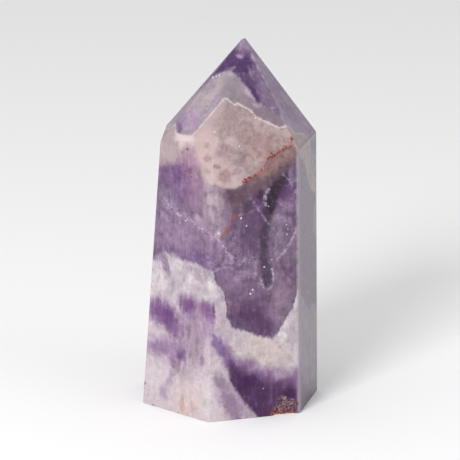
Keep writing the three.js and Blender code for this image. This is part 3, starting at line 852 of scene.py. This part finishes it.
def paintFine(ink, color):  # veins, iron stains and painted glints
    mesh = abs(ink.layer("mesh") - 0.5)
    wide = ink.strokes(laceRuns)
    color = ink.mix(wide * (ink.mottle + ink.haze).fade(0.85, 1.15) * 0.4, color, "lilac")
    color = ink.mix(wide * mesh.fade(0.05, 0.005) * 0.4, color, "paleThread")
    lace = ink.strokes(threads)
    color = ink.mix(lace * ink.mottle.fade(0.38, 0.6) * 0.7, color, "thread")
    color = ink.mix(lace.fade(0.3, 0.75) * ink.grit.fade(0.42, 0.66) * 0.45, color, "paleThread")
    redShare = ink.strokes(redLine)
    color = ink.mix(redShare.fade(0, 0.4) * ink.mottle.fade(0.45, 0.6) * 0.45, color, "redSoft")
    color = ink.mix(redShare * ink.grit.fade(0.54, 0.64), color, "red")
    color = ink.mix(ink.dots(redSpecks) * (ink.grit + ink.mottle * 0.3).fade(0.58, 0.74), color, "red")
    color = ink.mix(ink.strokes(orangeVein) * (ink.grit + ink.mottle).fade(0.8, 1.1), color, "orange")
    # painted highlights: the tiny glints
    return ink.mix(ink.dots(glintPlaces) * 0.85, color, "spark")


def paintStone(ink):
    jag = (ink.fibres - 0.5) * 2.2
    color = ink.mix((ink.above("capLine") + jag * 0.3).fade(0.7, -0.6), paintTip(ink), paintBand(ink))
    aboveBeige = ink.crispV - ink.trace(ink.crispU, bands["beigeTop"])
    color = ink.mix(aboveBeige.fade(0.15, -0.15), color, paintBeige(ink))
    softness = 0.5 + ink.u.fade(-4.8, -6.8) * 2.3 - ink.u.fade(-9.6, -11.6) * 0.7
    belowBeige = ((ink.above("beigeFoot") + jag * 0.3) / softness).fade(1, -1)
    inBeige = aboveBeige.fade(0.15, -0.15) * (1 - belowBeige)
    color = ink.mix(belowBeige, color, paintBody(ink))
    ragged = jag * 0.6 + (ink.grit - 0.5) * 1.2
    inChevron = (ink.above("purpleFoot") + ragged).fade(0.5, -0.6)
    inBody = belowBeige * (1 - inChevron)
    color = ink.mix(inChevron, color, paintChevron(ink))
    low = ink.above("whiteFoot") + (ink.haze - 0.5) * 3
    rose = (low + jag).fade(3, 0.4) * ink.u.fade(-3, 0) * ink.front
    color = ink.mix(rose * 0.45, color, "footRose")
    color = ink.mix((low + jag * 0.8).fade(1.9, -1.9), color, paintFoot(ink))

    edge = abs(aboveBeige)  # the thin bright line, then wisps and veins over all
    color = ink.mix(edge.fade(0.9, 0.1) * ink.mottle.fade(0.3, 0.7) * 0.5, color, "glowSoft")
    color = ink.mix(edge.fade(0.35, 0.05) * ink.grit.fade(0.25, 0.55) * 0.8, color, "glow")
    wisp = abs(ink.layer("wisps") - 0.5).fade(0.03, 0)
    color = ink.mix(wisp * ink.mottle.fade(0.45, 0.7) * 0.16, color, "thread")
    vein = abs(ink.layer("veins") - 0.5).fade(0.013, 0)
    color = ink.mix(vein * ink.haze.fade(0.4, 0.6) * ink.back * 0.6, color, "thread")
    color = paintFine(ink, color)

    above = aboveBeige.fade(-0.4, 0.4)  # painted sheen and shade on the right side, in calm grey tones: its tip facet, its flat, their edges
    crown = ink.ahead(*facetPlane(2)).fade(-0.35, -0.1)
    # painted sheen on the right tip facet: pale grey laid over its colour
    pale = (ink.haze * 0.5 + ink.cloud).fade(0.55, 0.95)
    crownSheenTone = ink.mix(pale, "crownGrey", "crownLight")
    crownSheenTone = ink.mix(above, "crownBeige", crownSheenTone)
    color = ink.mix(crown * 0.7, color, crownSheenTone)
    right = ink.ahead(*flatPlane(2))
    # painted shade and sheen on the right flat and further back on that side: dim grey laid over the bands
    rightShadeTone = ink.mix(inBeige * ink.v.fade(50, 60), "rightBase", "rightBeige")
    rightShadeTone = ink.mix(above, rightShadeTone, "rightTop")
    onRight = right.fade(-0.5, -0.1)
    beyond = ink.axes[0].fade(8, 19) * ink.behind.fade(14, 22)
    color = ink.mix(onRight.atLeast(beyond) * (0.45 + inChevron * 0.25), color, rightShadeTone)
    # painted light on the rounded edge between the right tip facet and the right flat: pale grey over its own
    # darker shading
    shoulderEdge = ink.ahead(*facetPlane(2)).fade(-0.9, -0.3) * right.fade(-0.9, -0.3)
    color = ink.mix(shoulderEdge * 0.6, color, "shoulderEdge")
    # painted highlight along the rounded edge between the front and right flats
    strip = right.atMost(ink.ahead(*flatPlane(1))).fade(-1, -0.3)
    color = ink.mix(strip * 0.8, color, "strip")

    calm = crown.atLeast(onRight) * 0.75  # how little the grains shade the stone: less under the painted sheen and shade of the right side, and in the beige
    calm = calm.atLeast(inBeige * 0.5)
    busy = 1 - calm + inBody * (1 - crown.atLeast(onRight)) * 0.6
    shade = (ink.haze - 0.5) * 0.5 + (ink.mottle - 0.5) * 0.45
    shade = shade + (ink.fibres - 0.5) * 0.35 + (ink.grit - 0.5) * 0.3
    return ink.node("HueSaturation", None, {"Value": 1 + shade * busy, "Color": color})


quartz = {  # what both finishes share
    "IOR": 1.54, "Specular IOR Level": 0.3, "Subsurface Radius": (1, 0.75, 1), "Subsurface Scale": 1 * mm}
polish = {  # depth is the share of light that is scattered under the surface
    "roughness": 0.13, "wear": 0.08, "depth": 0.12, "ripple": 0.03, "rippleHeight": 0.2, "mattLeft": 0.9}
breakage = {"roughness": 0.5, "depth": 0.1, "crumb": 0.5, "crumbHeight": 0.3}


def polishedStone():
    ink = Stone("polished amethyst")
    color = paintStone(ink)
    ripple = ink.node("Bump", None, {
        "Strength": polish["ripple"], "Distance": polish["rippleHeight"] * mm, "Height": ink.mottle})
    shine = ink.node("BsdfPrincipled", None, {
        **quartz, "Base Color": color, "Roughness": polish["roughness"] + ink.grit * polish["wear"],
        "Subsurface Weight": polish["depth"], "Normal": ripple})
    matte = ink.node("BsdfPrincipled", None, {
        "Base Color": color, "Roughness": 1, "Specular IOR Level": 0})
    edgeOn = ink.ahead(*facetPlane(5)).fade(-0.35, -0.1)  # a matt left tip facet has no pale rim
    surface = ink.node("MixShader", None, {0: edgeOn * polish["mattLeft"], 1: shine, 2: matte})
    ink.node("OutputMaterial", None, {"Surface": surface})
    return ink.material


def brokenStone():
    ink = Stone("broken amethyst")
    color = ink.mix(ink.mottle.fade(0.35, 0.65), "crushed", "lilac")
    inHollow = ink.ovals([(13.6, -1.6, 5, 5, 1)])
    color = ink.mix(inHollow, color, "hollow")
    crumbs = ink.grit * 0.7 + ink.mottle * 0.3
    color = ink.mix(inHollow * crumbs.fade(0.52, 0.42) * 0.9, color, "footDeep")
    color = ink.mix(inHollow * crumbs.fade(0.53, 0.62) * 0.6, color, "beigeLimb")
    low = (ink.v + 2.9 + (ink.mottle - 0.5) * 5).fade(0.8, -0.8)
    color = ink.mix(inHollow * low * ink.grit.fade(0.42, 0.58) * 0.85, color, "rust")
    color = ink.mix(inHollow * low * ink.grit.fade(0.58, 0.68), color, "rustPale")
    rough = ink.node("Bump", None, {
        "Strength": breakage["crumb"], "Distance": breakage["crumbHeight"] * mm, "Height": ink.grit})
    shine = ink.node("BsdfPrincipled", None, {
        **quartz, "Base Color": color, "Roughness": breakage["roughness"],
        "Subsurface Weight": breakage["depth"], "Normal": rough})
    ink.node("OutputMaterial", None, {"Surface": shine})
    return ink.material


crystal = makeTower(polishedStone(), brokenStone())
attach(crystal, "root")
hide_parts("crystal_point")
print("crystal made:", len(crystal.data.polygons), "faces")


# Studio

studio = {  # metres and watts
    "floorReach": 6, "floorShade": 0.96, "floorRoughness": 0.85, "floorSheen": 0.1, "floorDrop": 0.00002,
    "sky": 0.66, "aim": (0, 0, 0.05),
    "lamps": {"key": ((-0.45, -0.9, 0.5), 0.4, 9.5), "fill": ((0.7, -0.5, 0.4), 0.6, 1)},
}


def makeFloor():
    pale = newMaterial("pale floor")
    ink = Shader(pale.node_tree)
    shade = studio["floorShade"]
    shine = ink.node("BsdfPrincipled", None, {
        "Base Color": (shade, shade, shade, 1), "Roughness": studio["floorRoughness"],
        "Specular IOR Level": studio["floorSheen"]})
    ink.node("OutputMaterial", None, {"Surface": shine})
    bm = bmesh.new()
    bmesh.ops.create_grid(bm, x_segments=1, y_segments=1, size=studio["floorReach"])
    bmesh.ops.translate(bm, verts=bm.verts[:], vec=(0, 0, -studio["floorDrop"]))
    floor = objectFrom(bm, "floor", [pale])


def softLight(name, place, size, power):
    lamp = bpy.data.lights.new(name, "AREA")
    lamp.shape = "DISK"
    lamp.size = size
    lamp.energy = power
    made = bpy.data.objects.new(name, lamp)
    made.location = place
    made.rotation_euler = (Vector(studio["aim"]) - Vector(place)).to_track_quat("-Z", "Y").to_euler()
    bpy.context.collection.objects.link(made)


def makeSky():
    world = bpy.data.worlds.new("studio")
    world.use_nodes = True
    background = world.node_tree.nodes["Background"]
    background.inputs["Color"].default_value = (1, 1, 1, 1)
    background.inputs["Strength"].default_value = studio["sky"]
    bpy.context.scene.world = world


def makeCamera():
    tilt = math.radians(view["tilt"])
    aim = Vector((view["side"], 0, view["height"])) - Vector(view["offset"])
    lens = bpy.data.cameras.new("camera")
    lens.lens = view["lens"]
    lens.sensor_width = 36
    lens.clip_end = 50
    camera = bpy.data.objects.new("camera", lens)
    camera.location = (aim + Vector((0, -math.cos(tilt), math.sin(tilt))) * view["distance"]) * mm
    camera.rotation_euler = (math.radians(90) - tilt, 0, 0)
    bpy.context.collection.objects.link(camera)
    bpy.context.scene.camera = camera


makeFloor()
makeSky()
for name, lamp in studio["lamps"].items():
    softLight(name, *lamp)
makeCamera()
bpy.context.scene.view_settings.view_transform = "Standard"
print("studio ready")
